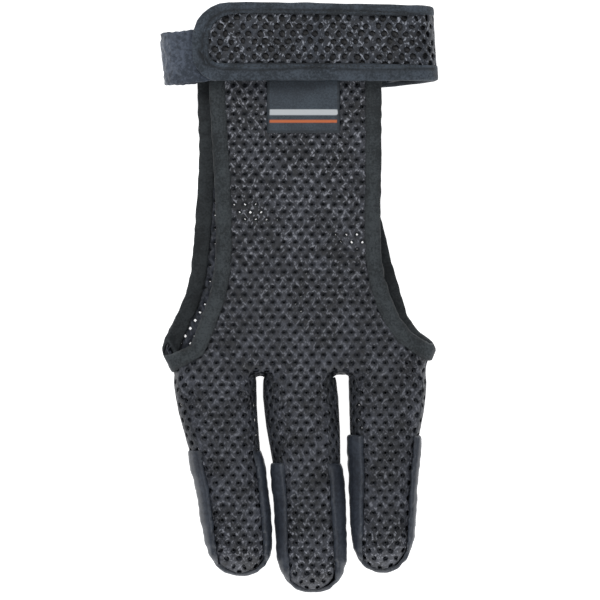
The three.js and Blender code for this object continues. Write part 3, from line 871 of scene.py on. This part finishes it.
skin = fine_copy("strap_binding", 0.5 * MM, 5)
crease(skin, 0.35 * MM, (9 * MM, 4 * MM, 9 * MM), 2.2)
window = window_edge("strap_binding", WINDOW_LOW_X, WINDOW_HIGH_X, WINDOW_MIDDLE_Y)
row = []
for spot in window:
    on_middle = Vector((max(WINDOW_LOW_X * MM, min(WINDOW_HIGH_X * MM, spot.x)), WINDOW_MIDDLE_Y, 0))
    row.append(spot + (spot - on_middle).normalized() * SEAM_INSET)
at_fold = [v for v in skin.verts if v.co.x > 50 * MM]
for _ in range(FOLD_PASSES):
    bmesh.ops.smooth_vert(skin, verts=at_fold, factor=0.5, use_axis_x=True, use_axis_y=True, use_axis_z=True)
# each press sinks the tape along its line and darkens it there as painted shade: the crease, the pinch, the fold and
# the window's edge
press(skin, resample(on_plan(BAND_CREASE), 0.3 * MM), 1.5 * MM, 0.6 * MM, 0.85)
press(skin, resample(on_plan(PINCH), 0.3 * MM), 3.2 * MM, 0.6 * MM, 1.0)
press(skin, resample(on_plan(FOLD_CREASE), 0.3 * MM), 1.0 * MM, 0.3 * MM, 0.5)
press(skin, resample(window, 0.3 * MM), 1.7 * MM, 0.4 * MM, 0.95)
seam = bmesh.new()
stitch(seam, skin, row)
shade_and_border = skin.verts.layers.float.get("shade_and_border")
# the strap's tape below the fold's level is darkened more, as painted shade
for v in skin.verts:
    if v.co.z < SPLIT_LEVEL:
        v[shade_and_border] = max(v[shade_and_border], 1.5 * PALM_TAPE_SHADE)
strap_edge = to_piece(skin, "strap_edge_binding", strap_tape, ["strap_binding"])
strap_stitches = to_piece(seam, "strap_binding_stitches", thread)

# %% [markdown]
# ## Wrist strap
# The strap's mesh is a flat rectangle with a rounded end, bent once round the right side. A point of the flat strap
# is found by walking along its route: over the front, down to the glove, round the fold and back underneath.
# The real mesh is pulled, so its holes are less regular than those of the back.

# %% The strap's route
FOLD_X = 47.0 * MM            # middle of the fold
FOLD_LEVEL = 11.1 * MM
FOLD_RADIUS = 8.9 * MM
FOLD_SLANT = 0.065            # sideways lean of the fold, for each metre across the strap
BACK_DROP = 0.105             # fall of the back run, for each metre along it
STRAP_MIDDLE_Y = 108.1 * MM
FOLD_SWELL = 0.9 * MM         # the mesh bulges between its tapes where it is bent


def along_strap(u, y):
    """u is x on the front run. Past the fold it runs on round the bend and along the back."""
    lean = -FOLD_SLANT * (y - STRAP_MIDDLE_Y)
    bend = math.pi * FOLD_RADIUS
    past = u - FOLD_X
    if past < 0:
        towards = max(0.0, (u + 45 * MM) / (FOLD_X + 45 * MM)) ** 3
        start, way = Vector((u + lean * towards, y, 60 * MM)), -UP
    elif past < bend:
        angle = past / FOLD_RADIUS
        drop = BACK_DROP * FOLD_RADIUS * (1 - math.sin(angle)) if angle > math.pi / 2 else 0.0
        outward = Vector((math.sin(angle), 0, math.cos(angle)))
        start = Vector((FOLD_X + lean, y - drop, FOLD_LEVEL)) + outward * 30 * MM
        way = -outward
    else:
        back_x = FOLD_X - (past - bend)
        start = Vector((back_x + lean, y - BACK_DROP * (FOLD_X + FOLD_RADIUS - back_x), -20 * MM))
        way = UP
    spot, normal, _, _ = trees["strap_mesh"].ray_cast(start, way)
    on_other_run = spot is None or (past < 0 and spot.z < FOLD_LEVEL) or (past > bend and spot.z > FOLD_LEVEL)
    if on_other_run:
        return None
    swell = FOLD_SWELL * math.sin(max(0.0, min(1.0, past / bend)) * math.pi)
    return spot + normal * swell, normal


def held_in(place, margin):
    """The same form, ending margin inside its edge."""
    def inner(x, y):
        if any(place(x + dx, y + dy) is None for dx in (-margin, margin) for dy in (-margin, margin)):
            return None
        return place(x, y)
    return inner


low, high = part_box("strap_mesh")
strap_form = held_in(along_strap, 1.2 * MM)
strap_end = FOLD_X + math.pi * FOLD_RADIUS + (FOLD_X - 1 * MM)
strap_grid = ((low[0], 91 * MM), (strap_end, high[1]), HOLE_PITCH, ROW_PITCH, (0, STRAP_MIDDLE_Y))
STRAP_HOLE = 2.5 * MM
layer, strap_area = knit_layer(
    strap_form, strap_grid, FACE_DEPTH, STRAP_HOLE, FACE_THICKNESS, jitter=1.1 * MM, uneven=0.9)
strap_mesh = to_piece(layer, "strap_mesh_face", strap_yarn, ["strap_mesh"])
round_off(strap_mesh)
lining_grid = (*strap_grid[:4], (HOLE_PITCH / 4, STRAP_MIDDLE_Y + ROW_PITCH / 2))
layer, _ = knit_layer(strap_form, lining_grid, LINING_DEPTH, LINING_HOLE, LINING_THICKNESS)
strap_lining = to_piece(layer, "strap_mesh_inner_face", shaded_strap_inner_yarn)
print("strap mesh covers", round(strap_area * 1e4, 1), "square centimetres")

# %% [markdown]
# ## Loop strap and hook pad
# The loop strap is brushed fabric folded at the left, and the strap's hook pad grips it under the tab.

# %% Make them
LOOP_END_X = -50 * MM         # beyond it the loop strap's fold is let out
LOOP_LET_OUT = 1.0 * MM
LOOP_BLEND = 6 * MM

skin = fine_copy("loop_strap", 0.45 * MM, 3)
for v in skin.verts:
    v.co.x -= LOOP_LET_OUT * max(0.0, min(1.0, (LOOP_END_X - v.co.x) / LOOP_BLEND))
crease(skin, 0.5 * MM, (2.2 * MM, 2.2 * MM, 2.2 * MM), 4.0)
loop_strap = to_piece(skin, "loop_strap_fabric", loop_pile, ["loop_strap"])
skin = fine_copy("hook_pad", 0.35 * MM, 3)
hook_pad = to_piece(skin, "hook_tape_pad", hook_tape, ["hook_pad"])

# %% [markdown]
# ## Label
# A woven label hangs below the strap. It is plain here, with a darker border and two bands of colour woven across.

# %% Make the label
# columns: attribute, colour, and the band's middle and width along y, in millimetres
LABEL_BANDS = [("pale_band", "#c4c8cb", 78.3, 2.4), ("orange_band", "#c4683a", 74.6, 1.5)]
LABEL_BORDER = 1.2 * MM
label_cloth = make_cloth(
    "Woven satin label", "#29313a", "#3b4650", 0.6, 0.35 * MM, 0.06 * MM, bands=[row[:2] for row in LABEL_BANDS])
skin = fine_copy("label", 0.4 * MM, 3)
label_low, label_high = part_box("label")
shade_and_border = skin.verts.layers.float.new("shade_and_border")
for attribute, _, middle, width in LABEL_BANDS:
    skin.verts.layers.float.new(attribute)
for v in skin.verts:
    inside = min(v.co.x - label_low[0], label_high[0] - v.co.x, v.co.y - label_low[1])
    v[shade_and_border] = 0.5 if inside < LABEL_BORDER else 0.0
    for attribute, _, middle, width in LABEL_BANDS:
        on_band = abs(v.co.y - middle * MM) < width * MM / 2 and inside > LABEL_BORDER
        v[skin.verts.layers.float.get(attribute)] = 1.0 if on_band else 0.0
label = to_piece(skin, "woven_label", label_cloth, ["label"])

# %% [markdown]
# ## Pieces sewn onto the mesh
# The flat areas are those of the grids before their holes were cut, so they stand for the cloth as it was cut out.
# The tape, the patches and the stitches are sewn onto the mesh, and are gathered here in a list.

sewn_on = [piece for piece in bpy.data.objects if "edge_binding" in piece.name or "fingertip" in piece.name]
sewn_on += [piece for piece in bpy.data.objects if "binding_stitches" in piece.name]

# %% [markdown]
# ## Floor, light and camera
# The glove lies on a plain pale surface under a broad soft light, and the camera looks straight down on it
# through a long lens, as a catalogue photograph is taken.

# %% Stage
floor_material, tree, shader = new_material("Pale photographer's paper", 0.9)
shader.inputs["Base Color"].default_value = linear("#f4f4f4")
shader.inputs["Emission Color"].default_value = linear("#ffffff")
shader.inputs["Emission Strength"].default_value = 0.9
bm = bmesh.new()
bmesh.ops.create_grid(bm, x_segments=1, y_segments=1, size=2.0)
mesh = bpy.data.meshes.new("floor")
bm.to_mesh(mesh)
bm.free()
mesh.materials.append(floor_material)
floor = bpy.data.objects.new("floor", mesh)
bpy.context.scene.collection.objects.link(floor)

world = bpy.data.worlds.new("Soft studio")
bpy.context.scene.world = world
world.use_nodes = True
world.node_tree.nodes["Background"].inputs["Color"].default_value = linear("#eef1f6")
world.node_tree.nodes["Background"].inputs["Strength"].default_value = 0.3


def add_softbox(name, place, size, power):
    light = bpy.data.lights.new(name, "AREA")
    light.shape = "SQUARE"
    light.size = size
    light.energy = power
    lamp = bpy.data.objects.new(name, light)
    lamp.location = place
    lamp.rotation_euler = (-Vector(place)).to_track_quat("-Z", "Y").to_euler()
    bpy.context.scene.collection.objects.link(lamp)


add_softbox("softbox_wrist", (-0.25, 0.75, 0.9), 0.5, 6.0)
add_softbox("softbox_top", (0.3, -0.2, 1.2), 0.8, 2.3)
add_softbox("softbox_fingers", (0.1, -0.9, 0.45), 0.5, 4.0)

# %% Camera
FRAME_WIDTH = 252.8 * MM
LENS = 400.0
SENSOR = 36.0
LOOK_AT = Vector((0.4 * MM, -0.7 * MM, 17 * MM))
camera_data = bpy.data.cameras.new("camera")
camera_data.lens = LENS
camera_data.sensor_width = SENSOR
camera = bpy.data.objects.new("camera", camera_data)
camera.location = LOOK_AT + Vector((0, 0, FRAME_WIDTH * LENS / SENSOR))
bpy.context.scene.collection.objects.link(camera)
bpy.context.scene.camera = camera
bpy.context.scene.view_settings.view_transform = "Standard"
